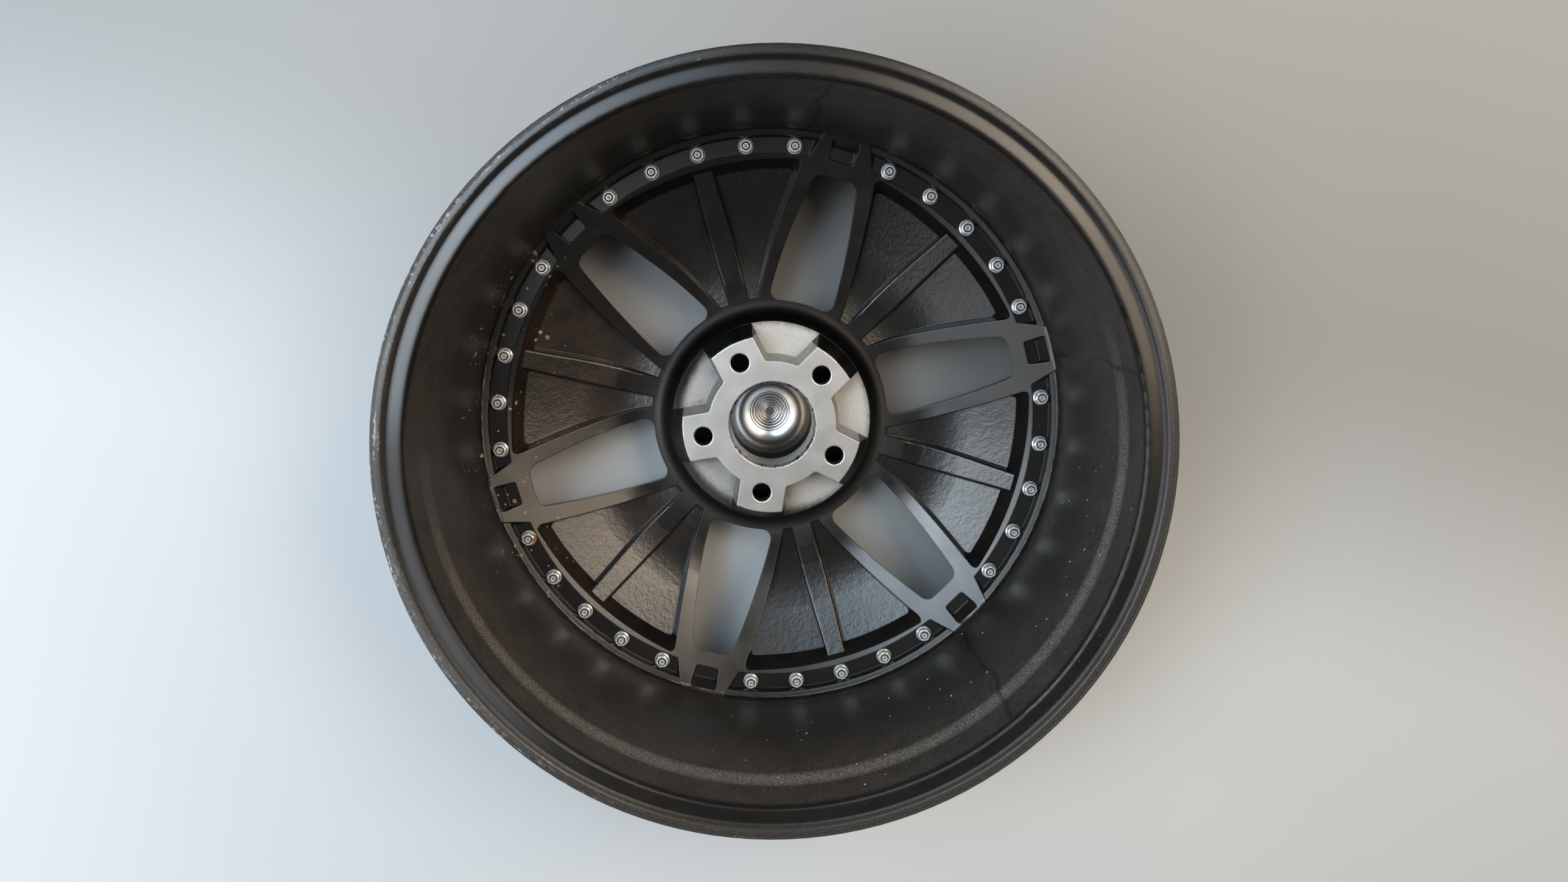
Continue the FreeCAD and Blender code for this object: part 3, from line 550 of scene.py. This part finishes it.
where = put(tree, "TexCoord").outputs["Object"]
mottle = noise(tree, where, 6.0, 4.0)
across = measure(tree, "DOT_PRODUCT", where, picture_right)
upward = measure(tree, "DOT_PRODUCT", where, picture_up)
# mottle and painted light: the sheet is lighter and cooler towards the lower left of the picture
mottle_and_light_fall = calc(tree, "MULTIPLY_ADD", mottle, 0.25, calc(tree, "MULTIPLY_ADD", upward, 0.40, across))
colour = dye(tree, fade(tree, mottle_and_light_fall, -0.60, 0.75), sheet_lit_cool, sheet_dim_warm)
# painted shade: the sheet darkens towards the top of the picture
far_shade = calc(tree, "MULTIPLY_ADD", across, 0.25, upward)
colour = dye(tree, fade(tree, far_shade, -0.16, 0.22, 0.0, 0.45), colour, sheet_far_shade)
# painted shadow: a dark patch on the sheet under the right half of the wheel
from_axis = measure(tree, "DISTANCE", where, (0.0, 0.0, floor_level))
right_half = fade(tree, calc(tree, "MULTIPLY_ADD", upward, 0.6, across), -0.10, 0.16)
painted_shadow = times(tree, fade(tree, from_axis, 0.270, 0.215), right_half)
colour = dye(tree, times(tree, painted_shadow, 0.55), colour, sheet_shadow)
height = times(tree, noise(tree, where, 300.0, 2.0), 0.00002)
surface = bump(tree, height)
shader = put(tree, "BsdfPrincipled", {"Base Color": colour, "Roughness": 0.45, "Normal": surface})
put(tree, "OutputMaterial", {"Surface": shader.outputs[0]})
floor_mesh.materials.append(sheet)

# Light.  Cool soft boxes to the left of the picture and warmer ones to the right, several
# high and one low on each side, over a dim even room.


def soft_box(name, right, up, height, wide, long, colour, brightness):
    """Area light at a place given as the picture sees it, turned towards the wheel."""
    lamp = bpy.data.lights.new(name, "AREA")
    lamp.shape = "RECTANGLE"
    lamp.size = wide
    lamp.size_y = long
    lamp.color = colour
    lamp.energy = brightness * math.pi * wide * long
    holder = bpy.data.objects.new(name, lamp)
    holder.location = picture_right * right + picture_up * up + Vector((0, 0, height))
    holder.rotation_euler = (-holder.location).to_track_quat("-Z", "Y").to_euler()
    bpy.context.scene.collection.objects.link(holder)


soft_box("left_day", -1.455, 0.205, 2.40, 1.10, 0.95, (0.83, 0.93, 1.0), 7.6)
soft_box("left_sky", -0.860, 1.110, 2.40, 1.50, 1.15, (0.66, 0.84, 1.0), 4.6)
soft_box("left_near", -0.710, 0.430, 2.40, 0.62, 0.55, (0.80, 0.91, 1.0), 4.0)
soft_box("left_back", -1.240, -1.140, 2.40, 1.00, 1.00, (0.95, 0.97, 1.0), 1.7)
soft_box("right_lamp", 1.090, 0.980, 2.40, 1.00, 0.95, (1.0, 0.86, 0.70), 7.8)
soft_box("right_wall", 1.440, 0.140, 2.40, 0.90, 0.90, (1.0, 0.82, 0.62), 3.4)
soft_box("left_low", -1.750, -0.550, 1.10, 1.80, 0.90, (0.86, 0.93, 1.0), 3.8)
soft_box("right_low", 1.550, 0.950, 1.10, 1.80, 0.90, (1.0, 0.88, 0.76), 3.2)
room = bpy.data.worlds.new("dim_room")
room.use_nodes = True
room.node_tree.nodes["Background"].inputs["Color"].default_value = (1.0, 0.97, 0.93, 1.0)
room.node_tree.nodes["Background"].inputs["Strength"].default_value = 0.12
bpy.context.scene.world = room
bpy.context.scene.view_settings.view_transform = "Standard"

# Camera.  Above the wheel and a little towards the top of the picture, looking down at the hub.
view = bpy.data.cameras.new("view_from_inboard")
view.sensor_fit = "HORIZONTAL"
view.sensor_width = 36.0
view.lens = 28.94
eye = bpy.data.objects.new("view_from_inboard", view)
to_right = Vector((0.70352, -0.70957, 0.03951))
to_top = Vector((0.70395, 0.68817, -0.17572))
turned_eye = Matrix((to_right, to_top, to_right.cross(to_top))).transposed().to_4x4()
eye.matrix_world = Matrix.Translation((0.09594, 0.13740, 0.99575)) @ turned_eye
bpy.context.scene.collection.objects.link(eye)
bpy.context.scene.camera = eye
